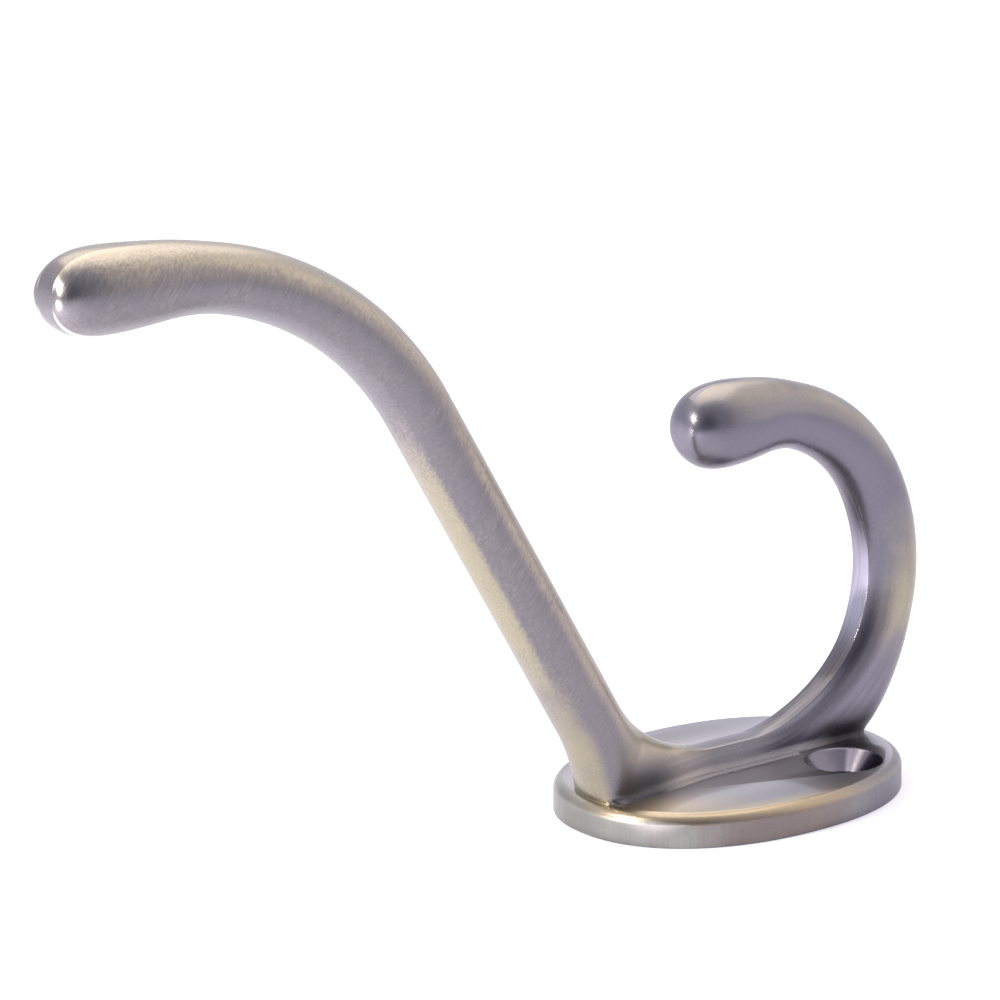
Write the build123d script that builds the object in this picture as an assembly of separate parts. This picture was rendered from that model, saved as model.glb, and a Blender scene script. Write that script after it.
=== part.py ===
from build123d import *
import os
from math import atan2, cos, degrees, hypot, pi, radians, sin, sqrt, tan

# Coat hook with a long upper arm and a small lower curl, cast in one piece on an oval wall plate.
# The back face of the plate is Z = 0 with the wall below it, and both arms lie in the plane Y = 0.
# The long arm leans to -X, which points up once the hook is on a wall. All sizes are millimetres.

# Wall plate
plate_length = 40.0
plate_width = 30.4
plate_thickness = 3.7
plate_fullness = 2.2
plate_edge_radius = 1.3

# Two countersunk screw holes, across the plate from each other
screw_pitch = 25.0
screw_line_angle = 33.5
screw_hole_diameter = 4.3
countersink_diameter = 8.5
countersink_angle = 90.0

# Long arm: straight up from the plate, then one bend, then a short end with a swollen tip
long_foot_x = -13.85
long_lean = 60.2
long_straight = 52.8
long_bend_radius = 36.0
long_bend_angle = 59.8
long_end_length = 6.6
long_thickness = 7.1
long_width = 7.4
long_tip_thickness = 8.9
long_tip_width = 8.4
long_tip_dome = 6.15
long_tip_band = 2.6
long_swell_length = 14.0
long_crease_length = 10.8
long_band = 1.52

# Small hook: a round rise from the plate, a tighter curl and a short end with a ball
small_inner_x = 18.4
small_inner_radius = 16.0
small_rise_radius = 20.8
small_rise_angle = 28.0
small_curl_radius = 17.7
small_curl_angle = 63.2
small_end_length = 4.3
small_thickness = 7.2
small_width = 6.4
small_band = 2.6
small_tip_thickness = 9.4
small_tip_width = 8.4
small_tip_dome = 5.6
small_tip_band = 1.0
small_swell_length = 10.5

# Low ridge on the plate that joins the two feet
saddle_height = 2.8
saddle_width = 3.4
saddle_band = 2.8
left_inner_radius = 15.6
long_foot_width = 7.2
long_foot_flare = 1.1
small_foot_width = 3.4
small_foot_flare = 1.65
small_foot_fill = 0.3
root_depth = 1.3
long_foot_lead = 5.0

# Where each change of section begins and ends, as shares of the way round its foot's bend
long_flare_span = (0.0, 0.4)
long_narrow_span = (0.3, 0.95)
long_sink_span = (0.0, 0.6)
small_widen_span = (0.0, 0.45)
small_rise_span = (0.0, 0.67)
small_round_span = (0.28, 0.89)
small_flare_span = (0.87, 0.45)
small_fill_spans = ((0.0, 0.3), (0.7, 0.3))

# Where the creases of the small hook's inner band fade out, as shares of its upright part
small_fade_span = (0.6, 1.6)

# The flat underside of the feet inside the plate, as a share of their width
sole_share = 0.84

# How full the domed ends are in side view, where 2 is a plain oval, and how soft their creases
dome_fullness = 2.4
dome_smooth = 0.1

# How far a creased band arches, as a share of its half width
band_arch = 0.12

# Angles round a domed end at which it gets a section, counted from its very end
dome_steps = (4, 14, 26, 40, 54, 68, 80)


def ease(t, span=(0.0, 1.0)):
    """Smooth step from 0 at the span's start to 1 at its end."""
    t = max(0.0, min(1.0, (t - span[0]) / (span[1] - span[0])))
    return t * t * (3 - 2 * t)


def mix(a, b, t):
    return a + (b - a) * t


def soft_min(a, b, blend):
    """The smaller of two values, rounded off where they meet."""
    return (a + b - sqrt((a - b) ** 2 + blend**2)) / 2


def oval(centre, angle, reaches, half_width, bands, smooth):
    """One closed section of an arm, in the plane through the centre that is square to Y = 0.

    The angle is the direction from the inner edge to the outer edge. Each of the pairs gives a
    value for the inner edge and one for the outer: its distance from the centre, the half width
    of the narrow band along it, and how far that band is part of the oval, from 1 with no crease
    to 0 with a crease on each side.
    """
    centre_x, centre_z = centre
    along_x = cos(radians(angle))
    along_z = sin(radians(angle))

    def place(u, y):
        return Vector(centre_x + u * along_x, y, centre_z + u * along_z)

    def half(side, reach, band, part):
        turn = atan2(band, sqrt(half_width**2 - band**2))
        flat_rise = (1 - part) * band_arch * min(band, reach)
        size = (reach - flat_rise) / (cos(turn) + part * (1 - cos(turn)))
        corner = size * cos(turn)
        pull = 4 / 3 * (reach - corner)
        shoulder = band - 4 / 3 * tan(turn / 2) * half_width * cos(turn)
        across = [(corner, -band), (corner + pull, -shoulder), (corner + pull, shoulder), (corner, band)]
        arc = 4 / 3 * tan((pi / 2 - turn) / 4)
        flank = [
            (corner, band),
            (corner - arc * size * sin(turn), band + arc * half_width * cos(turn)),
            (arc * size, half_width),
            (0.0, half_width),
        ]
        return [(side * u, y) for u, y in across], [(side * u, y) for u, y in flank]

    inner_across, inner_flank = half(-1, reaches[0], bands[0], smooth[0])
    outer_across, outer_flank = half(1, reaches[1], bands[1], smooth[1])
    loop = [
        outer_across,
        outer_flank,
        inner_flank[::-1],
        inner_across[::-1],
        [(u, -y) for u, y in inner_flank],
        [(u, -y) for u, y in outer_flank[::-1]],
    ]
    return Wire([Bezier(*[place(u, y) for u, y in edge]) for edge in loop])


def walk(x, z, heading, runs, distance):
    """Point and heading at a distance along a path of (length, radius) runs; a radius of 0 is straight."""
    for length, radius in runs:
        step = distance if (length, radius) == runs[-1] else min(distance, length)
        distance -= step
        if radius == 0:
            x += step * cos(radians(heading))
            z += step * sin(radians(heading))
            continue
        pivot_x = x - radius * sin(radians(heading))
        pivot_z = z + radius * cos(radians(heading))
        heading += degrees(step / radius)
        x = pivot_x + radius * sin(radians(heading))
        z = pivot_z - radius * cos(radians(heading))
    return x, z, heading


# Places that follow from the driving sizes
saddle_z = plate_thickness + saddle_height
root_z = plate_thickness - root_depth
root_blend = 0.4 * root_depth
lean = radians(long_lean)
half_long = long_thickness / 2
half_small = small_thickness / 2

# Centre of the inner bend at the long arm's foot, tangent to the arm's inner side and the saddle
arm_corner_x = long_foot_x - saddle_height / tan(lean) + half_long / sin(lean)
left_centre_x = arm_corner_x + left_inner_radius * tan(lean / 2)
left_centre_z = saddle_z + left_inner_radius
arm_across = 270 - long_lean

# Centre of the inner curve at the small hook's foot, tangent to the saddle
small_centre_x = small_inner_x - small_inner_radius
small_centre_z = saddle_z + small_inner_radius

long_runs = [
    (long_straight, 0),
    (long_bend_radius * radians(long_bend_angle), long_bend_radius),
    (long_end_length, 0),
]
small_runs = [
    (small_rise_radius * radians(small_rise_angle), small_rise_radius),
    (small_curl_radius * radians(small_curl_angle), small_curl_radius),
    (small_end_length, 0),
]
long_length = sum(length for length, radius in long_runs)

# Distances along the long arm's axis: where the bend at its foot begins, and a little above that
foot_x = left_centre_x + (left_inner_radius + half_long) * cos(radians(arm_across))
foot_z = left_centre_z + (left_inner_radius + half_long) * sin(radians(arm_across))
foot_distance = hypot(foot_x - long_foot_x, foot_z - plate_thickness)
lead_distance = foot_distance + long_foot_lead
small_length = sum(length for length, radius in small_runs)


def long_axis(distance):
    return walk(long_foot_x, plate_thickness, 180 - long_lean, long_runs, distance)


def small_axis(distance):
    return walk(small_inner_x + half_small, small_centre_z, 90, small_runs, distance)


def dome_section(axis, length, dome, across_turn, thickness, width, band, lift):
    """A section of a domed end: a quarter oval in side view that keeps the width of its band."""
    run = cos(radians(lift))
    share = (1 - run**dome_fullness) ** (1 / dome_fullness)
    x, z, heading = axis(length + dome * run)
    reach = share * thickness / 2
    half_width = mix(1.02 * band, width, share) / 2
    return oval((x, z), heading + across_turn, (reach, reach), half_width, (band / 2, band / 2),
                (dome_smooth, dome_smooth))


def long_tip_sections():
    """Sections of the long arm's domed end, from the very tip."""
    return [
        dome_section(long_axis, long_length, long_tip_dome, 90, long_tip_thickness, long_tip_width,
                     long_tip_band, lift)
        for lift in dome_steps
    ]


def long_section(distance):
    """A section of the long arm at a distance along its axis."""
    from_tip = long_length - distance
    swell = ease(1 - from_tip / long_swell_length)
    fade = ease(from_tip / long_crease_length)
    reach = mix(long_thickness, long_tip_thickness, swell) / 2
    half_width = mix(long_width, long_tip_width, swell) / 2
    band = mix(long_tip_band, long_band, fade) / 2
    smooth = mix(dome_smooth, 1.0, fade)
    x, z, heading = long_axis(distance)
    return oval((x, z), heading + 90, (reach, reach), half_width, (band, band), (smooth, smooth))


def long_sections():
    """Sections of the long arm, from where its end dome starts down to a little above its foot."""
    count = 18
    return [long_section(mix(long_length, lead_distance, i / count)) for i in range(count + 1)]


def fan_section(centre_x, centre_z, angle, radii, half_width, bands, smooth):
    """A section that looks out from a bend's centre; radii are its inner edge, middle and outer edge."""
    inner, middle, outer = radii
    x = centre_x + middle * cos(radians(angle))
    z = centre_z + middle * sin(radians(angle))
    return oval((x, z), angle, (middle - inner, outer - middle), half_width, bands, smooth)


def long_foot_sections():
    """Sections of the long arm's last straight stretch and round the inner bend, down to the saddle."""
    lead_count = 5
    sections = [
        long_section(mix(lead_distance, foot_distance, i / lead_count)) for i in range(1, lead_count + 1)
    ]
    count = 20
    for i in range(1, count + 1):
        t = i / count
        angle = mix(arm_across, 270, t)
        down = -sin(radians(angle))
        flare = long_foot_flare * ease(t, long_flare_span)
        arm_side = (left_inner_radius + long_thickness + flare) / cos(radians(angle - arm_across))
        outer = soft_min(arm_side, (left_centre_z - root_z) / down, root_blend)
        plate_top = min((left_centre_z - plate_thickness) / down, outer - root_depth / 2)
        middle = mix(left_inner_radius + half_long, plate_top, ease(t, long_sink_span))
        foot = mix(long_width, long_foot_width, ease(t, long_flare_span))
        half_width = mix(foot, saddle_width, ease(t, long_narrow_span)) / 2
        band = mix(long_band, saddle_band, ease(t)) / 2
        sole = mix(long_band / 2, sole_share * half_width, ease(t, long_flare_span))
        smooth = (1 - ease(t), 1 - ease(t, long_flare_span))
        radii = (left_inner_radius, middle, outer)
        sections.append(
            fan_section(left_centre_x, left_centre_z, angle, radii, half_width, (band, sole), smooth)
        )
    return sections


def small_foot_sections():
    """Sections from the saddle round the inner curve, up to where the small hook stands upright."""
    sections = []
    centre_line = small_inner_radius + half_small
    count = 15
    for i in range(count):
        t = i / count
        angle = mix(-90, 0, t)
        down = max(-sin(radians(angle)), 0.3)
        flare = small_foot_flare * ease(t, small_flare_span)
        fill = small_foot_fill * ease(t, small_fill_spans[0]) * ease(t, small_fill_spans[1])
        inner = small_inner_radius - fill
        arm_side = small_inner_radius + small_thickness + flare
        outer = soft_min(arm_side, (small_centre_z - root_z) / down, root_blend)
        plate_top = min((small_centre_z - plate_thickness) / down, outer - root_depth / 2)
        middle = mix(plate_top, centre_line, ease(t, small_rise_span))
        foot = mix(saddle_width, small_foot_width, ease(t, small_widen_span))
        half_width = mix(foot, small_width, ease(t, small_round_span)) / 2
        band = mix(saddle_band, small_band, ease(t, small_rise_span)) / 2
        radii = (inner, middle, outer)
        sections.append(
            fan_section(small_centre_x, small_centre_z, angle, radii, half_width, (band, band), (0.0, 1.0))
        )
    return sections


def small_section(distance):
    """A section of the small hook at a distance along its axis."""
    upright = small_rise_radius * radians(small_rise_angle)
    swell = ease(1 - (small_length - distance) / small_swell_length)
    reach = mix(small_thickness, small_tip_thickness, swell) / 2
    half_width = mix(small_width, small_tip_width, swell) / 2
    band = mix(small_band, small_tip_band, swell) / 2
    smooth = ease(distance / upright, small_fade_span) * (1 - swell)
    x, z, heading = small_axis(distance)
    return oval((x, z), heading - 90, (reach, reach), half_width, (band, band), (smooth, 1.0))


def small_sections():
    """Sections of the small hook from its upright part to where its end dome starts."""
    count = 16
    return [small_section(small_length * i / count) for i in range(count + 1)]


def ball_sections():
    """Sections of the small hook's domed end, to the very tip."""
    return [
        dome_section(small_axis, small_length, small_tip_dome, -90, small_tip_thickness, small_tip_width,
                     small_tip_band, lift)
        for lift in reversed(dome_steps)
    ]


def arms():
    """Both arms and the ridge between their feet: stretches of skin that share their end sections."""
    tip, long_arm, long_foot, small_foot, small_hook, ball = (
        long_tip_sections(), long_sections(), long_foot_sections(),
        small_foot_sections(), small_sections(), ball_sections(),
    )
    stretches = [
        tip + long_arm[:1],
        long_arm,
        long_arm[-1:] + long_foot,
        long_foot[-1:] + small_foot[:1],
        small_foot + small_hook[:5],
        small_hook[4:],
        small_hook[-1:] + ball,
    ]
    skins = [Solid.make_loft(sections) for sections in stretches]
    return skins[0].fuse(*skins[1:])


def plate_outline():
    """A slightly full oval."""
    count = 48
    power = 2 / plate_fullness
    points = []
    for i in range(count):
        turn = 2 * pi * i / count
        x = plate_length / 2 * abs(cos(turn)) ** power
        y = plate_width / 2 * abs(sin(turn)) ** power
        points.append((x if cos(turn) > 0 else -x, y if sin(turn) > 0 else -y))
    return Wire([Spline(*points, periodic=True)])


def wall_plate():
    plate = extrude(Face(plate_outline()), plate_thickness)
    top = plate.faces().sort_by(Axis.Z)[-1]
    return fillet(top.edges(), plate_edge_radius)


def screw_hole(turn):
    """What a countersunk screw takes out of the plate, at an angle round the plate's centre."""
    x = screw_pitch / 2 * cos(radians(turn))
    y = screw_pitch / 2 * sin(radians(turn))
    depth = (countersink_diameter - screw_hole_diameter) / 2 / tan(radians(countersink_angle / 2))
    shaft = Cylinder(screw_hole_diameter / 2, 3 * plate_thickness)
    cone = Cone(screw_hole_diameter / 2, countersink_diameter / 2, depth)
    return Pos(x, y, 0) * shaft + Pos(x, y, plate_thickness - depth / 2) * cone


def hook_casting():
    casting = wall_plate() + arms()
    for turn in (-screw_line_angle, 180 - screw_line_angle):
        casting -= screw_hole(turn)
    return casting


os.makedirs("parts", exist_ok=True)
casting = hook_casting()
export_step(casting, "parts/hook_casting.step")
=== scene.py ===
from math import atan2, cos, degrees, hypot, pi, radians, sin, sqrt, tan
from types import SimpleNamespace

import bpy
import bmesh
import numpy as np
from mathutils import Matrix, Vector


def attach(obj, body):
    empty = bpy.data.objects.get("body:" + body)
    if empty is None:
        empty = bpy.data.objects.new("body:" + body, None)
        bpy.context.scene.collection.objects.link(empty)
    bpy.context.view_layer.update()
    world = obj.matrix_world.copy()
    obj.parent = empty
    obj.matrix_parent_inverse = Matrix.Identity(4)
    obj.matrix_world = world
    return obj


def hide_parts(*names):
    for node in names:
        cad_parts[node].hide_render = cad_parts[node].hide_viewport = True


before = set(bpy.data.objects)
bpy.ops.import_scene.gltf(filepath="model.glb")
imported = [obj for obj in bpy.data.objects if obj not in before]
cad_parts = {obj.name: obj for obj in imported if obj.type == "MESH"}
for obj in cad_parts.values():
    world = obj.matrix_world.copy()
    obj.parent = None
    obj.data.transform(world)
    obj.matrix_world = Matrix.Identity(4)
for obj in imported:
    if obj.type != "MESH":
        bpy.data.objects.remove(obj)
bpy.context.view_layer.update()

# Sizes of the casting in millimetres, as in the part
plate_length, plate_width, plate_thickness = 40.0, 30.4, 3.7
plate_fullness, plate_edge_radius = 2.2, 1.3
screw_pitch, screw_line_angle = 25.0, 33.5
screw_hole_diameter, countersink_diameter = 4.3, 8.5

long_foot_x, long_lean, long_straight = -13.85, 60.2, 52.8
long_bend_radius, long_bend_angle, long_end_length = 36.0, 59.8, 6.6
long_thickness, long_width = 7.1, 7.4
long_tip_thickness, long_tip_width, long_tip_dome, long_tip_band = 8.9, 8.4, 6.15, 2.6
long_swell_length, long_crease_length, long_band = 14.0, 10.8, 1.52

small_inner_x, small_inner_radius = 18.4, 16.0
small_rise_radius, small_rise_angle = 20.8, 28.0
small_curl_radius, small_curl_angle, small_end_length = 17.7, 63.2, 4.3
small_thickness, small_width, small_band = 7.2, 6.4, 2.6
small_tip_thickness, small_tip_width, small_tip_dome, small_tip_band = 9.4, 8.4, 5.6, 1.0
small_swell_length = 10.5

saddle_height, saddle_width, saddle_band = 2.8, 3.4, 2.8
left_inner_radius, long_foot_width, long_foot_flare = 15.6, 7.2, 1.1
small_foot_width, small_foot_flare, small_foot_fill = 3.4, 1.65, 0.3
root_depth = 1.3
long_flare_span, long_narrow_span, long_sink_span = (0.0, 0.4), (0.3, 0.95), (0.0, 0.6)
small_widen_span, small_rise_span, small_round_span = (0.0, 0.45), (0.0, 0.67), (0.28, 0.89)
small_flare_span, small_fill_spans = (0.87, 0.45), ((0.0, 0.3), (0.7, 0.3))
small_fade_span = (0.6, 1.6)
sole_share, dome_fullness, dome_smooth, band_arch = 0.84, 2.4, 0.1, 0.12

# Width of a dome's smallest section over its band, and the share of its size over which its creases fade in
dome_spread, dome_crease_span = 1.02, (0.15, 0.5)

# Small cast fillet where the arms and the ridge meet the plate, where it ends and how far it fades there
foot_fillet, fillet_end, fillet_fade = 0.9, 19.2, 2.0

# Round of the plate's back edge, round of the countersinks' lips, and their rise over the plate for the cut
back_round, lip_round, lip_rise = 0.25, 0.16, 0.03

# Polish of the long arm's tip, the ridge's top and the small hook's band and where it fades; 0 is satin
long_tip_gloss, ridge_gloss, band_gloss, faded_gloss = 0.45, 0.8, 1.0, 0.1

# Where the feet's polish changes, and how far the polish of the two tips reaches
ridge_gloss_span, band_gloss_span, long_gloss_share, small_gloss_length = (0.6, 1.0), (0.1, 0.5), 0.8, 4.0

# Numbers of sections in a dome, the long arm, the two feet and the small hook, and of corners round a hole
dome_count, long_count, left_foot_count, right_foot_count, small_count, hole_count = 22, 190, 80, 90, 90, 96

MM = 0.001

# One unit of the arms' grid in millimetres
GRID_UNIT = 100.0


def ease(t, span=(0.0, 1.0)):
    """Smooth step from 0 at the span's start to 1 at its end."""
    t = max(0.0, min(1.0, (t - span[0]) / (span[1] - span[0])))
    return t * t * (3 - 2 * t)


def mix(a, b, t):
    return a + (b - a) * t


def soft_min(a, b, blend):
    """The smaller of two values, rounded off where they meet."""
    return (a + b - sqrt((a - b) ** 2 + blend**2)) / 2


def curve_points(controls, share):
    """Points of a cubic curve with four control points."""
    start, first, second, end = np.array(controls, float)
    share = share[:, None]
    rest = 1 - share
    return (rest**3 * start + 3 * rest * rest * share * first
            + 3 * rest * share * share * second + share**3 * end)


# Where the points of one section lie on its bands and its flanks: closer together near the creases
ACROSS = (1 - np.cos(np.linspace(0, pi, 15))) / 2
FLANK = 0.5 * np.linspace(0, 1, 21) + 0.5 * np.linspace(0, 1, 21) ** 2


def oval(centre, angle, reaches, half_width, bands, smooth, gloss):
    """Points of one closed section of an arm, and how polished and how near a sharp crease each is.

    The gloss pair is for the band along the inner edge and the band along the outer edge.
    """
    centre_x, centre_z = centre
    along_x, along_z = cos(radians(angle)), sin(radians(angle))

    def half(side, reach, band, part):
        turn = atan2(band, sqrt(half_width**2 - band**2))
        flat_rise = (1 - part) * band_arch * min(band, reach)
        size = (reach - flat_rise) / (cos(turn) + part * (1 - cos(turn)))
        corner = size * cos(turn)
        pull = 4 / 3 * (reach - corner)
        shoulder = band - 4 / 3 * tan(turn / 2) * half_width * cos(turn)
        across = [(corner, -band), (corner + pull, -shoulder), (corner + pull, shoulder), (corner, band)]
        arc = 4 / 3 * tan((pi / 2 - turn) / 4)
        flank = [
            (corner, band),
            (corner - arc * size * sin(turn), band + arc * half_width * cos(turn)),
            (arc * size, half_width),
            (0.0, half_width),
        ]
        sign = np.array([side, 1.0])
        return curve_points(across, ACROSS) * sign, curve_points(flank, FLANK) * sign

    inner_across, inner_flank = half(-1, reaches[0], bands[0], smooth[0])
    outer_across, outer_flank = half(1, reaches[1], bands[1], smooth[1])
    flip = np.array([1.0, -1.0])
    inner_sharp, outer_sharp = 1 - smooth[0], 1 - smooth[1]
    at_crease = {0: 1.0}
    after_crease = {0: 1.0, 1: 1.0, 2: 0.9, 3: 0.7, 4: 0.3}
    before_crease = {-1: 1.0, -2: 0.9, -3: 0.7, -4: 0.3}
    parts = [
        (outer_across, gloss[1], outer_sharp, at_crease),
        (outer_flank, 0.0, outer_sharp, after_crease),
        (inner_flank[::-1], 0.0, inner_sharp, before_crease),
        (inner_across[::-1], gloss[0], inner_sharp, at_crease),
        (inner_flank * flip, 0.0, inner_sharp, after_crease),
        ((outer_flank * flip)[::-1], 0.0, outer_sharp, before_crease),
    ]
    points, shine = [], []
    for stretch, value, sharp, marks in parts:
        points.append(stretch[:-1])
        pair = np.full((len(stretch) - 1, 2), (value, 0.0))
        for number, mark in marks.items():
            pair[number, 1] = mark * sharp
        shine.append(pair)
    points, shine = np.concatenate(points), np.concatenate(shine)
    across = points[:, 0]
    place = np.stack([centre_x + across * along_x, points[:, 1], centre_z + across * along_z], 1)
    return place, shine


def walk(x, z, heading, runs, distance):
    """Point and heading at a distance along a path of (length, radius) runs; radius 0 is straight."""
    for length, radius in runs:
        step = distance if (length, radius) == runs[-1] else min(distance, length)
        distance -= step
        if radius == 0:
            x += step * cos(radians(heading))
            z += step * sin(radians(heading))
            continue
        pivot_x = x - radius * sin(radians(heading))
        pivot_z = z + radius * cos(radians(heading))
        heading += degrees(step / radius)
        x = pivot_x + radius * sin(radians(heading))
        z = pivot_z - radius * cos(radians(heading))
    return x, z, heading


# Places that follow from the sizes
saddle_z = plate_thickness + saddle_height
root_z = plate_thickness - root_depth
root_blend = 0.4 * root_depth
lean = radians(long_lean)
half_long, half_small = long_thickness / 2, small_thickness / 2
arm_corner_x = long_foot_x - saddle_height / tan(lean) + half_long / sin(lean)
left_centre_x = arm_corner_x + left_inner_radius * tan(lean / 2)
left_centre_z = saddle_z + left_inner_radius
arm_across = 270 - long_lean
small_centre_x = small_inner_x - small_inner_radius
small_centre_z = saddle_z + small_inner_radius
long_runs = [
    (long_straight, 0),
    (long_bend_radius * radians(long_bend_angle), long_bend_radius),
    (long_end_length, 0),
]
small_runs = [
    (small_rise_radius * radians(small_rise_angle), small_rise_radius),
    (small_curl_radius * radians(small_curl_angle), small_curl_radius),
    (small_end_length, 0),
]
long_length = sum(length for length, radius in long_runs)
small_length = sum(length for length, radius in small_runs)
foot_x = left_centre_x + (left_inner_radius + half_long) * cos(radians(arm_across))
foot_z = left_centre_z + (left_inner_radius + half_long) * sin(radians(arm_across))
foot_distance = hypot(foot_x - long_foot_x, foot_z - plate_thickness)


def long_axis(distance):
    return walk(long_foot_x, plate_thickness, 180 - long_lean, long_runs, distance)


def small_axis(distance):
    return walk(small_inner_x + half_small, small_centre_z, 90, small_runs, distance)


def dome_section(axis, length, dome, across_turn, thickness, width, band, gloss, lift):
    run = cos(radians(lift))
    share = (1 - run**dome_fullness) ** (1 / dome_fullness)
    x, z, heading = axis(length + dome * run)
    reach = share * thickness / 2
    half_width = mix(dome_spread * band, width, share) / 2
    place, shine = oval((x, z), heading + across_turn, (reach, reach), half_width, (band / 2, band / 2),
                        (dome_smooth, dome_smooth), (gloss, gloss))
    shine[:, 1] *= ease(share, dome_crease_span)
    return place, shine


def long_section(distance):
    from_tip = long_length - distance
    swell = ease(1 - from_tip / long_swell_length)
    fade = ease(from_tip / long_crease_length)
    reach = mix(long_thickness, long_tip_thickness, swell) / 2
    half_width = mix(long_width, long_tip_width, swell) / 2
    band = mix(long_tip_band, long_band, fade) / 2
    smooth = mix(dome_smooth, 1.0, fade)
    x, z, heading = long_axis(distance)
    gloss = long_tip_gloss * ease(1 - from_tip / (long_gloss_share * long_crease_length))
    return oval((x, z), heading + 90, (reach, reach), half_width, (band, band), (smooth, smooth),
                (gloss, gloss))


def fan_section(centre_x, centre_z, angle, radii, half_width, bands, smooth, gloss):
    inner, middle, outer = radii
    x = centre_x + middle * cos(radians(angle))
    z = centre_z + middle * sin(radians(angle))
    return oval((x, z), angle, (middle - inner, outer - middle), half_width, bands, smooth, gloss)


def long_foot_section(t):
    angle = mix(arm_across, 270, t)
    down = -sin(radians(angle))
    flare = long_foot_flare * ease(t, long_flare_span)
    arm_side = (left_inner_radius + long_thickness + flare) / cos(radians(angle - arm_across))
    outer = soft_min(arm_side, (left_centre_z - root_z) / down, root_blend)
    plate_top = min((left_centre_z - plate_thickness) / down, outer - root_depth / 2)
    middle = mix(left_inner_radius + half_long, plate_top, ease(t, long_sink_span))
    foot = mix(long_width, long_foot_width, ease(t, long_flare_span))
    half_width = mix(foot, saddle_width, ease(t, long_narrow_span)) / 2
    band = mix(long_band, saddle_band, ease(t)) / 2
    sole = mix(long_band / 2, sole_share * half_width, ease(t, long_flare_span))
    smooth = (1 - ease(t), 1 - ease(t, long_flare_span))
    return fan_section(left_centre_x, left_centre_z, angle, (left_inner_radius, middle, outer),
                       half_width, (band, sole), smooth, (ridge_gloss * ease(t, ridge_gloss_span), 0.0))


def small_foot_section(t):
    angle = mix(-90, 0, t)
    down = max(-sin(radians(angle)), 0.3)
    flare = small_foot_flare * ease(t, small_flare_span)
    fill = small_foot_fill * ease(t, small_fill_spans[0]) * ease(t, small_fill_spans[1])
    arm_side = small_inner_radius + small_thickness + flare
    outer = soft_min(arm_side, (small_centre_z - root_z) / down, root_blend)
    plate_top = min((small_centre_z - plate_thickness) / down, outer - root_depth / 2)
    middle = mix(plate_top, small_inner_radius + half_small, ease(t, small_rise_span))
    foot = mix(saddle_width, small_foot_width, ease(t, small_widen_span))
    half_width = mix(foot, small_width, ease(t, small_round_span)) / 2
    band = mix(saddle_band, small_band, ease(t, small_rise_span)) / 2
    gloss = mix(ridge_gloss, band_gloss, ease(t, band_gloss_span))
    return fan_section(small_centre_x, small_centre_z, angle, (small_inner_radius - fill, middle, outer),
                       half_width, (band, band), (0.0, 1.0), (gloss, 0.0))


def small_section(distance):
    upright = small_rise_radius * radians(small_rise_angle)
    swell = ease(1 - (small_length - distance) / small_swell_length)
    reach = mix(small_thickness, small_tip_thickness, swell) / 2
    half_width = mix(small_width, small_tip_width, swell) / 2
    band = mix(small_band, small_tip_band, swell) / 2
    smooth = ease(distance / upright, small_fade_span) * (1 - swell)
    x, z, heading = small_axis(distance)
    end_gloss = ease(1 - (small_length - distance) / small_gloss_length)
    inner_gloss = max(mix(band_gloss, faded_gloss, smooth), end_gloss)
    return oval((x, z), heading - 90, (reach, reach), half_width, (band, band), (smooth, 1.0),
                (inner_gloss, end_gloss))


def arm_sections():
    """Sections from the long arm's tip to the small hook's tip: each one's points, and how they shine."""
    lifts = np.linspace(3, 86, dome_count)
    found = [dome_section(long_axis, long_length, long_tip_dome, 90, long_tip_thickness, long_tip_width,
                          long_tip_band, long_tip_gloss, lift) for lift in lifts]
    found += [long_section(d) for d in np.linspace(long_length, foot_distance, long_count)]
    found += [long_foot_section(t) for t in np.linspace(0, 1, left_foot_count)[1:]]
    found += [small_foot_section(t) for t in np.linspace(0, 1, right_foot_count)[:-1]]
    found += [small_section(d) for d in np.linspace(0, small_length, small_count)]
    found += [dome_section(small_axis, small_length, small_tip_dome, -90, small_tip_thickness,
                           small_tip_width, small_tip_band, 1.0, lift) for lift in lifts[::-1]]
    return found


def fillet_feet(points):
    """Spreads the arms' sides outwards just above the plate, in the curve of a cast fillet."""
    x, y, z = points.T
    height = np.clip((z - plate_thickness) / foot_fillet, 0, 1)
    spread = foot_fillet * (1 - np.sqrt(np.clip(1 - (1 - height) ** 2, 0, 1)))
    inside = np.clip((fillet_end - np.abs(x)) / fillet_fade, 0, 1)
    side = np.clip(np.abs(y), 0, 1) * np.sign(y)
    return np.stack([x, y + spread * inside * side, z], 1)


def ring_faces(rings, around):
    """Faces between neighbouring rings, and one face at each end."""
    faces = []
    for i in range(rings - 1):
        for j in range(around):
            k = (j + 1) % around
            faces.append((i * around + j, i * around + k, (i + 1) * around + k, (i + 1) * around + j))
    faces.append(tuple(range(around))[::-1])
    faces.append(tuple((rings - 1) * around + j for j in range(around)))
    return faces


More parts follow.
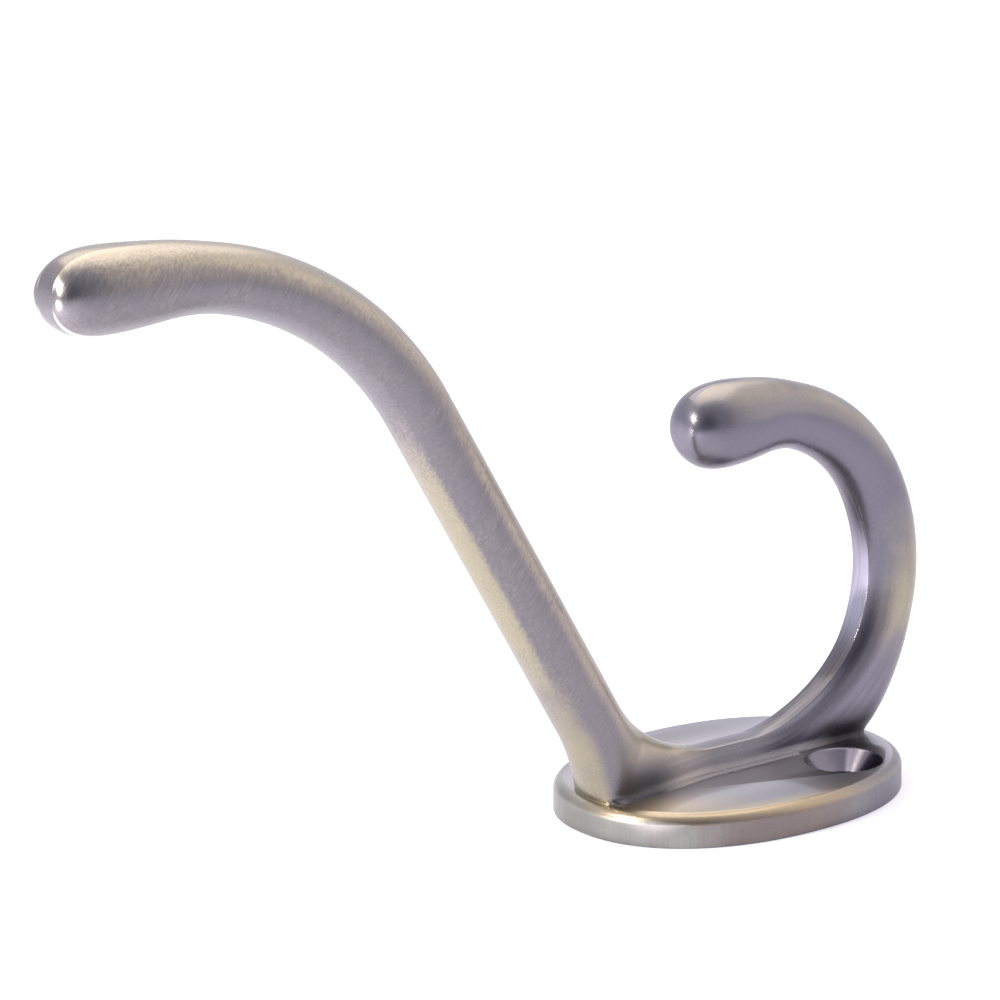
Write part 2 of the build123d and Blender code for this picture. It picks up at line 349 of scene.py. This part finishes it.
def arms_mesh():
    """Both arms and the ridge as one skin, with a grid along and around them, its polish and its creases."""
    found = arm_sections()
    rows = np.array([place for place, shine in found])
    shine = np.array([shine for place, shine in found])
    count, around = rows.shape[:2]
    middle = rows.mean(1)
    along = np.concatenate([[0], np.cumsum(np.linalg.norm(np.diff(middle, axis=0), axis=1))])
    steps = np.linalg.norm(np.diff(np.concatenate([rows, rows[:, :1]], 1), axis=1), axis=2)
    about = np.concatenate([np.zeros((count, 1)), np.cumsum(steps, 1)], 1)
    flat = rows.reshape(-1, 3)
    low = flat[:, 2] < plate_thickness + foot_fillet
    flat[low] = fillet_feet(flat[low])
    mesh = bpy.data.meshes.new("hook_arms")
    mesh.from_pydata([tuple(point) for point in flat * MM], [], ring_faces(count, around))
    grid = mesh.uv_layers.new(name="grid")
    for polygon in mesh.polygons:
        corners = [(c, mesh.loops[c].vertex_index) for c in polygon.loop_indices]
        past_seam = any(v % around == around - 1 for c, v in corners)
        for corner, v in corners:
            i, j = divmod(v, around)
            way_round = about[i, -1] if j == 0 and past_seam else about[i, j]
            grid.data[corner].uv = (along[i] / GRID_UNIT, way_round / GRID_UNIT)
    for number, name in enumerate(("gloss", "crease")):
        shown = mesh.attributes.new(name, "FLOAT", "POINT")
        shown.data.foreach_set("value", shine[:, :, number].reshape(-1).astype(np.float32))
    return mesh


def plate_ring(inset, height, count=240):
    power = 2 / plate_fullness
    ring = []
    for i in range(count):
        turn = 2 * pi * i / count
        run, rise = cos(turn), sin(turn)
        x = plate_length / 2 * abs(run) ** power * (1 if run > 0 else -1)
        y = plate_width / 2 * abs(rise) ** power * (1 if rise > 0 else -1)
        ring.append((x, y))
    ring = np.array(ring)
    ahead = np.roll(ring, -1, 0) - np.roll(ring, 1, 0)
    normal = np.stack([ahead[:, 1], -ahead[:, 0]], 1)
    normal /= np.linalg.norm(normal, axis=1)[:, None]
    ring = ring - inset * normal
    return np.concatenate([ring, np.full((count, 1), height)], 1)


def solid_from_rings(name, rings):
    mesh = bpy.data.meshes.new(name)
    vertices = [tuple(p) for ring in rings for p in np.array(ring) * MM]
    mesh.from_pydata(vertices, [], ring_faces(len(rings), len(rings[0])))
    made = bpy.data.objects.new(name, mesh)
    bpy.context.scene.collection.objects.link(made)
    return made


def hole_middles():
    """The screw holes' centres: the one that shows, and the one that the long arm hides."""
    for turn in (-screw_line_angle, 180 - screw_line_angle):
        yield screw_pitch / 2 * cos(radians(turn)), screw_pitch / 2 * sin(radians(turn))


def hole_cutter(x, y):
    """A screw hole with its countersink and a rounded lip, as a solid to cut away."""
    lip, hole, mouth = lip_round, screw_hole_diameter / 2, countersink_diameter / 2
    low = plate_thickness - (mouth - hole)
    profile = [
        (hole, -1.0),
        (hole, low - lip),
        (hole + 0.3 * lip, low + 0.5 * lip),
        (mouth - 1.5 * lip, plate_thickness - 1.5 * lip),
        (mouth - 0.7 * lip, plate_thickness - 0.62 * lip),
        (mouth + 0.2 * lip, plate_thickness - 0.12 * lip),
        (mouth + lip, plate_thickness + lip_rise),
        (mouth + lip, plate_thickness + 1.0),
    ]
    turns = np.linspace(0, 2 * pi, hole_count + 1)[:-1]
    rings = [[(x + radius * cos(turn), y + radius * sin(turn), height) for turn in turns]
             for radius, height in profile]
    return solid_from_rings("cutter", rings)


def wall_plate():
    """The oval plate with its rounded edges and its two screw holes."""
    edge = plate_edge_radius
    rings = [plate_ring(back_round * (1 - sin(turn)), back_round * (1 - cos(turn)))
             for turn in np.linspace(0, pi / 2, 5)]
    rings += [plate_ring(0, height) for height in np.linspace(back_round, plate_thickness - edge, 5)[1:]]
    rings += [plate_ring(edge * (1 - cos(turn)), plate_thickness - edge * (1 - sin(turn)))
              for turn in np.linspace(0, pi / 2, 13)[1:]]
    plate = solid_from_rings("hook_plate", rings)
    for x, y in hole_middles():
        cutter = hole_cutter(x, y)
        change = plate.modifiers.new("hole", "BOOLEAN")
        change.object, change.operation, change.solver = cutter, "DIFFERENCE", "EXACT"
        bpy.context.view_layer.update()
        made = bpy.data.meshes.new_from_object(plate.evaluated_get(bpy.context.evaluated_depsgraph_get()))
        plate.modifiers.clear()
        plate.data = made
        bpy.data.objects.remove(cutter)
    return plate


class Nodes:
    """A node tree, with short ways to add the nodes used here. A value is a number, a colour or a socket."""

    def __init__(self, owner):
        owner.use_nodes = True
        self.tree = owner.node_tree
        self.tree.nodes.clear()

    def add(self, kind, values=None, **settings):
        node = self.tree.nodes.new("ShaderNode" + kind)
        for name, value in settings.items():
            setattr(node, name, value)
        for name, value in (values or {}).items():
            self.fill(node.inputs[name], value)
        return node

    def fill(self, socket, value):
        if isinstance(value, bpy.types.NodeSocket):
            self.tree.links.new(value, socket)
        elif hasattr(socket.default_value, "__len__") and len(value) < len(socket.default_value):
            socket.default_value = (*value, 1.0)
        else:
            socket.default_value = value

    def chain(self, operation, values):
        """One operation over all the values, from the first to the last."""
        result = values[0]
        for value in values[1:]:
            result = self.add("Math", {0: result, 1: value}, operation=operation).outputs[0]
        return result

    def times(self, *values):
        return self.chain("MULTIPLY", values)

    def plus(self, *values):
        return self.chain("ADD", values)

    def minus(self, *values):
        return self.chain("SUBTRACT", values)

    def most(self, *values):
        return self.chain("MAXIMUM", values)

    def swing(self, value, middle=0.5):
        """How far a value lies over or under its middle."""
        return self.minus(value, middle)

    def ramp(self, value, low, high, start=0.0, end=1.0):
        """Smooth change from start to end while the value goes from low to high."""
        values = {"Value": value, "From Min": low, "From Max": high, "To Min": start, "To Max": end}
        return self.add("MapRange", values, interpolation_type="SMOOTHSTEP").outputs["Result"]

    def mix(self, amount, a, b):
        node = self.add("Mix", {"Factor": amount}, data_type="RGBA")
        for name, value in (("A", a), ("B", b)):
            self.fill(next(i for i in node.inputs if i.name == name and i.type == "RGBA"), value)
        return next(o for o in node.outputs if o.type == "RGBA")

    def vector(self, operation, a, b=(0.0, 0.0, 0.0), output="Vector"):
        return self.add("VectorMath", {0: a, 1: b}, operation=operation).outputs[output]

    def scaled(self, value, factor):
        return self.add("VectorMath", {0: value, "Scale": factor}, operation="SCALE").outputs[0]

    def split(self, value):
        return self.add("SeparateXYZ", {0: value}).outputs

    def joined(self, x, y):
        return self.add("CombineXYZ", {0: x, 1: y}).outputs[0]

    def attribute(self, name):
        return self.add("Attribute", attribute_name=name).outputs["Fac"]

    def noise(self, place, size, detail=2.0, rough=0.5):
        """Even noise with patches of about the given size in millimetres; the place is in millimetres."""
        values = {"Vector": place, "Scale": 1 / size, "Detail": detail, "Roughness": rough}
        return self.add("TexNoise", values).outputs[0]

    def millimetres(self):
        return self.scaled(self.add("TexCoord").outputs["Object"], 1 / MM)

    def facing(self, direction, low, high):
        """From 0 to 1 as the surface turns to face a direction of the object."""
        normal = self.add("TexCoord").outputs["Normal"]
        aligned = self.vector("DOT_PRODUCT", normal, Vector(direction).normalized(), "Value")
        return self.ramp(aligned, low, high)

    def bump(self, height, depth):
        """Bump whose height of 1 stands for the given depth in millimetres."""
        values = {"Height": height, "Strength": 1.0, "Distance": depth * MM}
        return self.add("Bump", values).outputs[0]

    def metal(self, values):
        shader = self.add("BsdfPrincipled", {"Metallic": 1.0, **values})
        self.add("OutputMaterial", {0: shader.outputs[0]})


# Colours of the dark plating, from the long arm to the small hook
dark_brass, bluish_brass = (0.235, 0.222, 0.238), (0.205, 0.200, 0.240)

# Colours where the plating is brushed away and a painted sheen lies on it; the golden is a painted
# reflection
worn_and_sheen_brass, olive_brass, golden_reflection = (0.380, 0.342, 0.295), (0.380, 0.350, 0.255), (0.400, 0.332, 0.250)
# Pale brass on the creases is wear and painted highlight; the white paints highlights on creases and rim
pale_wear_and_sheen, painted_highlight_white = (0.54, 0.48, 0.40), (0.88, 0.86, 0.80)

# Colours of the plate's top, of its rim from the long arm's end to the other, and of its holes and their
# painted highlight
plate_violet = (0.240, 0.233, 0.264)
rim_olive, rim_brown, rim_violet = (0.43, 0.45, 0.42), (0.228, 0.194, 0.184), (0.205, 0.200, 0.231)
hole_violet, hole_painted_highlight = (0.245, 0.230, 0.312), (0.68, 0.64, 0.76)

# Strokes, clouds and grain in millimetres, how the rim's lines are drawn out, and the depth of the relief
stroke_lean, stroke_width, stroke_length = 55.0, 0.30, 2.6
arms_cloud, plate_cloud, grain_size, relief_depth = 5.0, 6.0, 0.11, 0.03
rim_line_stretch = (3.0, 3.0, 0.25)

# How strongly strokes, grain and lines show in the arms' shade and relief, and the painted shade in shade
# and tint
stroke_shade, grain_shade, line_shade, grain_relief, line_relief = 0.4, 0.4, 0.9, 0.25, 1.5
dark_shade, dark_tint = 0.68, 0.8

# The same for the plate, where the holes' painted shade takes the place of the arms' painted shade
rim_line_shade, rim_grain_shade, rim_line_relief, rim_grain_relief, hole_shade = 0.22, 0.3, 0.6, 0.3, 0.3

# Roughness of satin and of polished brass, of the plate's rim and top, and what clouds and holes add to it
satin_rough, polished_rough, rim_rough, top_rough = 0.25, 0.15, 0.30, 0.28
arms_cloud_rough, plate_cloud_rough, hole_rough = 0.06, 0.04, -0.1
lacquer_weight, lacquer_rough = 0.6, 0.06

# Stretches along the arms from the long tip, in millimetres, over which the look changes
crease_end, tip_end, strokes_end, bluish_start = (22.0, 12.0), (4.0, 30.0), (75.0, 100.0), (100.0, 125.0)
straight_start, straight_end = (44.0, 64.0), (112.0, 104.0)
right_start, right_end = (45.0, 60.0), (106.0, 98.0)
upper_fade, small_hook_start = (80.0, 150.0), (120.0, 140.0)

# Directions that the worn places with painted sheen, the painted shade and the painted highlights face
upwards, near_side = (0, 0, 1), (0.0, -1.0, 0.0)
upper_face, under_face, foot_face = (0.4, 0, 0.92), (-0.85, -0.19, -0.49), (-0.95, -0.3, -0.1)
outside_face, right_face, heel_face = (0.7, -0.7, 0.0), (0.66, -0.64, 0.38), (0.3, -0.7, 0.6)
crease_face, rim_face, hole_face = (-0.80, -0.30, -0.50), (-0.78, -0.62, 0.2), (-0.60, -0.37, 0.70)


def arm_values(n):
    """What the arms' material is built from.

    x, y and z are places, along is the length from the long tip, and curve is the distance from the small
    hook's inner curve's centre, all in millimetres. Strokes and grain swing about zero.
    """
    along = n.split(n.scaled(n.add("UVMap", uv_map="grid").outputs[0], GRID_UNIT))["X"]
    place = n.millimetres()
    parts = n.split(place)
    gloss = n.attribute("gloss")
    satin = n.minus(1.0, gloss)
    turned = n.add("Mapping", {"Vector": place, "Rotation": (0, radians(stroke_lean), 0)}).outputs[0]
    strokes = n.vector("MULTIPLY", turned, (1 / stroke_length, 1 / stroke_width, 1 / stroke_width))
    strokes = n.swing(n.noise(strokes, 1.0, 3.0, 0.65))
    curve_x = n.most(n.minus(parts["X"], small_centre_x), 0.0)
    curve_z = n.minus(parts["Z"], small_centre_z)
    return SimpleNamespace(
        x=parts["X"], y=parts["Y"], z=parts["Z"],
        along=along, gloss=gloss, satin=satin,
        curve=n.vector("LENGTH", n.joined(curve_x, curve_z), output="Value"),
        strokes=n.times(strokes, n.ramp(along, *strokes_end, 1.0, 0.15), satin),
        clouds=n.noise(place, arms_cloud),
        grain=n.times(n.swing(n.noise(place, grain_size, 1.0)), satin),
    )


def worn_and_sheen_places(n, at):
    """Where the dark plating is brushed away in random patches, and where a painted sheen lies on it.

    The painted sheen makes the upper sides, both sides of the long arm's straight stretch and the outside of
    the small hook paler; under the long arm and outside the small hook it is an olive painted reflection.
    """
    upper = n.times(n.facing(upper_face, 0.25, 0.8), n.ramp(at.z, 4.5, 8.0),
                    n.ramp(at.along, *upper_fade, 1.0, 0.5), n.ramp(at.along, *tip_end, 0.75, 1.0))
    under = n.times(n.facing(under_face, 0.80, 0.95), n.ramp(at.along, *straight_start),
                    n.ramp(at.z, 8.0, 26.0, 0.1, 1.0))
    foot = n.times(n.facing(foot_face, 0.64, 0.93), n.ramp(at.x, -8.0, -14.0),
                   n.ramp(at.z, 26.0, 8.0, 0.0, 0.85))
    under = n.times(n.most(under, foot), n.ramp(at.along, *straight_end))
    right = n.times(n.facing(right_face, 0.66, 0.95), n.ramp(at.along, *right_start, 0.0, 0.7),
                    n.ramp(at.along, *right_end))
    outside = n.times(n.facing(outside_face, -0.15, 0.80), n.ramp(at.z, 32.0, 21.0, 0.0, 0.75),
                      n.ramp(at.z, 11.0, 18.0, 0.15, 1.0), n.ramp(at.along, *small_hook_start))
    worn_and_sheen = n.plus(n.most(upper, under, outside, right),
                  n.times(n.swing(at.clouds, 0.45), 0.8), n.times(at.strokes, 1.1))
    worn_and_sheen = n.times(worn_and_sheen, n.ramp(at.gloss, 0.0, 1.0, 1.0, 0.25))
    return n.ramp(worn_and_sheen, 0.0, 1.0), n.most(under, outside)


def painted_shade_places(n, at):
    """Painted shade and dark painted reflections: darkest in both feet's corners, and on and beside the
    small hook's band.
    """
    long_foot = n.times(n.ramp(at.x, -18.6, -16.2), n.ramp(at.x, -7.0, -13.0))
    small_foot = n.ramp(at.x, 9.0, 15.0)
    corner = n.times(n.most(long_foot, small_foot), n.ramp(at.z, 8.5, 4.8), n.facing(near_side, -0.2, 0.4))
    heel = n.times(n.ramp(at.x, 8.0, 14.0), n.ramp(at.z, 7.5, 5.2, 0.0, 1.2), n.facing(heel_face, 0.1, 0.6))
    high_band = n.times(n.ramp(at.y, 0.3, -0.3, 0.35, 1.0), n.ramp(at.z, 23.0, 30.0),
                        n.ramp(at.x, 9.0, 14.0), at.gloss)
    low_band = n.times(n.ramp(at.z, 17.0, 12.0), n.ramp(at.x, 2.0, 8.0), at.gloss, 0.6)
    beside = n.times(n.ramp(at.curve, 16.2, 16.8), n.ramp(at.curve, 19.5, 17.2),
                     n.ramp(at.x, 2.0, 8.0), n.ramp(at.z, 22.0, 15.0), at.satin, 0.6)
    return n.most(corner, heel, high_band, low_band, beside)


def drawn_lines(n, at):
    """Lines drawn along the polished bands, and lines on the ridge's sides that follow its curve."""
    drawn = n.noise(n.joined(n.times(at.along, 0.07), n.times(at.y, 2.2)), 1.0, 2.0, 0.6)
    drawn = n.times(n.swing(drawn), at.gloss, n.ramp(at.z, 38.0, 30.0, 0.25, 1.0))
    swept = n.noise(n.joined(n.times(at.curve, 1.1), n.times(at.along, 0.04)), 1.0, 2.0, 0.6)
    swept = n.times(n.swing(swept), at.satin, n.ramp(at.z, 30.0, 12.0), n.ramp(at.x, -13.0, -6.0))
    return n.plus(drawn, swept)


def worn_and_glinting_creases(n, at, colour):
    """The long tip's creases: rubbed bare and pale with painted sheen, a painted white highlight facing down
    and left.
    """
    crease = n.times(n.attribute("crease"), n.ramp(at.along, *crease_end))
    colour = n.mix(n.times(crease, 0.6), colour, pale_wear_and_sheen)
    return n.mix(n.times(crease, n.facing(crease_face, 0.30, 0.65)), colour, painted_highlight_white)


def brushed_brass():
    """The arms: satin, brushed in slanting strokes round the long arm, polished on the creases' bands."""
    material = bpy.data.materials.new("brushed_brass")
    n = Nodes(material)
    at = arm_values(n)
    lines = drawn_lines(n, at)
    worn_and_sheen, olive = worn_and_sheen_places(n, at)
    dark = painted_shade_places(n, at)
    plating = n.mix(n.ramp(at.along, *bluish_start), dark_brass, bluish_brass)
    # Plating, brushed away in patches and paler where a painted sheen lies; olive in painted reflections
    colour = n.mix(worn_and_sheen, plating, n.mix(olive, worn_and_sheen_brass, olive_brass))
    # Painted shade: darker and bluish in the feet's corners and on and beside the small hook's band
    colour = n.mix(n.times(dark, dark_tint), colour, bluish_brass)
    # Painted highlight: the small hook's polished band is lighter between these heights
    lit_band = n.times(n.ramp(at.z, 13.0, 18.0, 0.0, 0.85), n.ramp(at.z, 29.0, 23.0),
                       n.ramp(at.x, 9.0, 12.0), at.gloss)
    shade = n.plus(1.0, n.times(at.strokes, stroke_shade), n.times(at.grain, grain_shade),
                   n.times(lines, line_shade), lit_band)
    # The painted shade also darkens the same places
    shade = n.times(shade, n.minus(1.0, n.times(dark, dark_shade)))
    relief = n.plus(at.strokes, n.times(at.grain, grain_relief), n.times(lines, line_relief))
    rough = n.plus(n.ramp(at.gloss, 0.0, 1.0, satin_rough, polished_rough),
                   n.times(at.clouds, arms_cloud_rough))
    n.metal({
        "Base Color": worn_and_glinting_creases(n, at, n.scaled(colour, shade)),
        "Roughness": rough,
        "Normal": n.bump(relief, relief_depth),
    })
    return material


def hole_places(n, place):
    """From 0 outside the countersinks to 1 inside them."""
    radius = countersink_diameter / 2
    flat = n.vector("MULTIPLY", place, (1, 1, 0))
    away = [n.vector("DISTANCE", flat, (x, y, 0), "Value") for x, y in hole_middles()]
    return n.plus(*(n.ramp(distance, radius + 0.1, radius - 0.2) for distance in away))


def golden_reflection_places(n, x, y, reach):
    """Painted golden reflection on the rounded edge and under the long arm; least at the back and the small
    hook's end.
    """
    edge = n.times(n.facing(upwards, 0.05, 0.5), n.ramp(reach, 0.78, 0.95))
    arm_end = n.times(n.ramp(x, -2.0, -14.0), n.ramp(reach, 0.55, 0.9))
    return n.times(n.most(edge, arm_end), n.facing(upwards, 0.0, 0.35),
                   n.ramp(y, 3.0, -5.0, 0.15, 1.0), n.ramp(x, 11.0, -4.0, 0.05, 1.0))


def plate_shade(n, x, y, reach, top, brushed, hole):
    """Painted shade behind and in the holes and at the far left end; a paler painted reflection along the
    ridge.
    """
    behind = n.times(n.ramp(x, 11.5, 14.5), n.ramp(reach, 0.95, 0.86), top, 0.5)
    aside = n.add("Math", {0: y}, operation="ABSOLUTE").outputs[0]
    near_ridge = n.times(n.ramp(aside, 11.5, 7.0, 0.0, 0.60), top)
    return n.times(n.plus(brushed, 1.0), n.minus(1.0, n.times(hole, hole_shade)), n.minus(1.0, behind),
                   n.plus(1.0, near_ridge), n.ramp(x, -19.2, -17.0, 0.8, 1.0))


def plate_brass():
    """The plate: lacquered top, violet holes, satin rim with lines, painted highlights and a golden painted
    reflection.
    """
    material = bpy.data.materials.new("plate_brass")
    n = Nodes(material)
    place = n.millimetres()
    parts = n.split(place)
    x, y = parts["X"], parts["Y"]
    top = n.facing(upwards, 0.93, 0.995)
    side = n.minus(1.0, top)
    lines = n.noise(n.vector("MULTIPLY", place, rim_line_stretch), 1.0, 3.0, 0.6)
    clouds, grain = n.noise(place, plate_cloud), n.noise(place, grain_size, 1.0)
    outwards = n.vector("MULTIPLY", place, (2 / plate_length, 2 / plate_width, 0))
    reach = n.vector("LENGTH", outwards, output="Value")
    hole = hole_places(n, place)

    # Olive on the rim: random wear, and a painted reflection towards the long arm's end
    worn_and_sheen = n.plus(n.ramp(x, -7.0, -16.0, 0.05, 0.55), n.times(n.swing(clouds, 0.45), 0.9))
    rim = n.mix(n.ramp(x, 0.0, 9.0), rim_brown, rim_violet)
    colour = n.mix(n.ramp(n.times(worn_and_sheen, side), 0.0, 1.0), rim, rim_olive)
    colour = n.mix(top, colour, plate_violet)
    colour = n.mix(golden_reflection_places(n, x, y, reach), colour, golden_reflection)
    colour = n.mix(hole, colour, hole_violet)
    # Painted highlight on one side of each countersink
    colour = n.mix(n.times(hole, n.facing(hole_face, 0.975, 1.0)), colour, hole_painted_highlight)
    # Painted highlight on the rim where it faces the window on the left
    lit_rim = n.times(n.facing(rim_face, 0.95, 0.998), n.ramp(parts["Z"], 0.8, 2.6, 0.1, 0.75), side)
    colour = n.mix(lit_rim, colour, painted_highlight_white)
    brushed = n.plus(n.times(n.swing(lines), rim_line_shade), n.times(n.swing(grain), rim_grain_shade))
    brushed = n.times(brushed, side)
    relief = n.plus(n.times(lines, rim_line_relief), n.times(grain, rim_grain_relief))
    relief = n.times(relief, n.most(n.minus(side, hole), 0.0))
    rough = n.plus(n.ramp(top, 0.0, 1.0, rim_rough, top_rough), n.times(hole, hole_rough),
                   n.times(clouds, plate_cloud_rough))
    n.metal({
        "Base Color": n.scaled(colour, plate_shade(n, x, y, reach, top, brushed, hole)),
        "Roughness": rough,
        "Normal": n.bump(relief, relief_depth),
        "Coat Weight": n.times(top, lacquer_weight),
        "Coat Roughness": lacquer_rough,
    })
    return material


def build_hook():
    arms = bpy.data.objects.new("hook_skin", arms_mesh())
    bpy.context.scene.collection.objects.link(arms)
    plate = wall_plate()
    for piece, material in ((arms, brushed_brass()), (plate, plate_brass())):
        piece.data.materials.clear()
        piece.data.materials.append(material)
        shape = bmesh.new()
        shape.from_mesh(piece.data)
        bmesh.ops.recalc_face_normals(shape, faces=shape.faces)
        shape.to_mesh(piece.data)
        shape.free()
        piece.data.polygons.foreach_set("use_smooth", [True] * len(piece.data.polygons))
        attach(piece, "root")
        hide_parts("hook_casting")
    plate.data.set_sharp_from_angle(angle=radians(32))


def make_camera():
    """The photograph's camera, aimed so that the plate's centre lands where it does there."""
    turn, lift, roll, distance = radians(36.2), radians(15.4), radians(-0.83), 600.0
    # In pixels: the picture, one millimetre at the plate's centre, and where that centre is seen
    picture, scale, seen_x, seen_y = 1000, 9.27, 728.2, 795.6
    length = scale * distance
    forward = Vector((sin(turn) * cos(lift), cos(turn) * cos(lift), -sin(lift)))
    right = Vector((cos(turn), -sin(turn), 0))
    up = right.cross(forward)
    right, up = cos(roll) * right + sin(roll) * up, cos(roll) * up - sin(roll) * right
    off_right, off_up = (seen_x - picture / 2) / length, (picture / 2 - seen_y) / length
    place = -distance * (off_right * right + off_up * up + forward)
    data = bpy.data.cameras.new("camera")
    data.sensor_width = 36.0
    data.lens = length / picture * data.sensor_width
    data.clip_start, data.clip_end = 0.01, 20
    camera = bpy.data.objects.new("camera", data)
    bpy.context.scene.collection.objects.link(camera)
    camera.matrix_world = Matrix((
        (right.x, up.x, -forward.x, place.x * MM),
        (right.y, up.y, -forward.y, place.y * MM),
        (right.z, up.z, -forward.z, place.z * MM),
        (0, 0, 0, 1),
    ))
    bpy.context.scene.camera = camera
    return forward


def make_floor():
    """A pale floor. In reflections it glows brighter, a painted pool of light at the back left and far out
    under the long tip.
    """
    half = 3.0
    mesh = bpy.data.meshes.new("floor")
    corners = [(-half, -half, 0), (half, -half, 0), (half, half, 0), (-half, half, 0)]
    mesh.from_pydata(corners, [], [(0, 1, 2, 3)])
    floor = bpy.data.objects.new("floor", mesh)
    bpy.context.scene.collection.objects.link(floor)
    material = bpy.data.materials.new("floor_white")
    n = Nodes(material)
    paper_colour, glow_colour = (0.64, 0.64, 0.74), (0.92, 0.93, 1.0)
    camera_glow, mirrored_glow, bright_glow = 0.48, 0.30, 0.62
    path = n.add("LightPath").outputs
    place = n.split(n.millimetres())
    back_left = n.times(n.ramp(place["Y"], -25.0, 8.0), n.ramp(place["X"], -8.0, -45.0))
    bright = n.most(back_left, n.ramp(place["X"], -85.0, -110.0))
    mirrored = n.times(path["Is Glossy Ray"], n.ramp(bright, 0.0, 1.0, mirrored_glow, bright_glow))
    seen = n.most(n.times(path["Is Camera Ray"], camera_glow), mirrored)
    paper = n.add("BsdfDiffuse", {"Color": paper_colour})
    glow = n.add("Emission", {"Color": glow_colour, "Strength": seen})
    both = n.add("AddShader", {0: paper.outputs[0], 1: glow.outputs[0]})
    n.add("OutputMaterial", {0: both.outputs[0]})
    mesh.materials.append(material)


def make_world(forward, ahead, across):
    """A pale room, warmer overhead and on the right, darker behind the camera; the camera sees white."""
    world = bpy.data.worlds.new("studio")
    bpy.context.scene.world = world
    n = Nodes(world)
    seen = n.add("TexCoord").outputs["Generated"]

    def towards(direction, low, high):
        return n.ramp(n.vector("DOT_PRODUCT", seen, direction, "Value"), low, high)

    walls, overhead, right_wall = (0.95, 0.95, 1.06), (1.36, 1.26, 1.12), (1.55, 1.42, 1.25)
    behind_camera, camera_dark = (0.55, 0.54, 0.60), (0.22, 0.21, 0.25)
    colour = n.mix(towards(upwards, 0.25, 0.9), walls, overhead)
    colour = n.mix(towards(tuple(across), 0.50, 0.90), colour, right_wall)
    front = tuple(Vector((-ahead.x, -ahead.y, 0.1)).normalized())
    colour = n.mix(towards(front, 0.0, 0.65), colour, behind_camera)
    colour = n.mix(towards(tuple(-forward), 0.78, 0.98), colour, camera_dark)
    room = n.add("Background", {"Color": colour, "Strength": 1.0})
    white = n.add("Background", {"Color": (1, 1, 1), "Strength": 1.0})
    camera_ray = n.add("LightPath").outputs["Is Camera Ray"]
    choose = n.add("MixShader", {0: camera_ray, 1: room.outputs[0], 2: white.outputs[0]})
    n.add("OutputWorld", {0: choose.outputs[0]})


def area_light(name, place, aim, size, power, colour):
    data = bpy.data.lights.new(name, "AREA")
    data.shape = "RECTANGLE"
    data.size, data.size_y = size
    data.energy = power
    data.color = colour
    light = bpy.data.objects.new(name, data)
    bpy.context.scene.collection.objects.link(light)
    light.location = place
    light.rotation_mode = "QUATERNION"
    light.rotation_quaternion = (Vector(aim) - Vector(place)).to_track_quat("-Z", "Y")


def make_lights(ahead, across):
    """A low window on the left, a large soft box overhead, and a small warm glow on the floor's far left."""
    window_turn, window_height, window_distance = radians(60), 0.018, 0.25
    towards_window = -sin(window_turn) * across - cos(window_turn) * ahead
    window_place = Vector((0, 0, window_height)) + window_distance * towards_window
    area_light("left_window", window_place, aim=(-0.03, 0, 0.04), size=(0.06, 0.035), power=0.24,
               colour=(1.0, 0.94, 0.85))
    area_light("top_box", (0.06, 0.16, 0.42), aim=(0.0, 0.05, 0), size=(0.50, 0.50), power=0.95,
               colour=(1.0, 0.94, 0.86))
    area_light("floor_glow", (-0.22, 0.02, 0.14), aim=(-0.125, 0.01, 0), size=(0.04, 0.04), power=0.4,
               colour=(1.0, 0.92, 0.78))


forward = make_camera()
ahead = Vector((forward.x, forward.y, 0)).normalized()
across = Vector((ahead.y, -ahead.x, 0))
make_floor()
make_world(forward, ahead, across)
make_lights(ahead, across)
build_hook()

bpy.context.scene.view_settings.view_transform = "Standard"
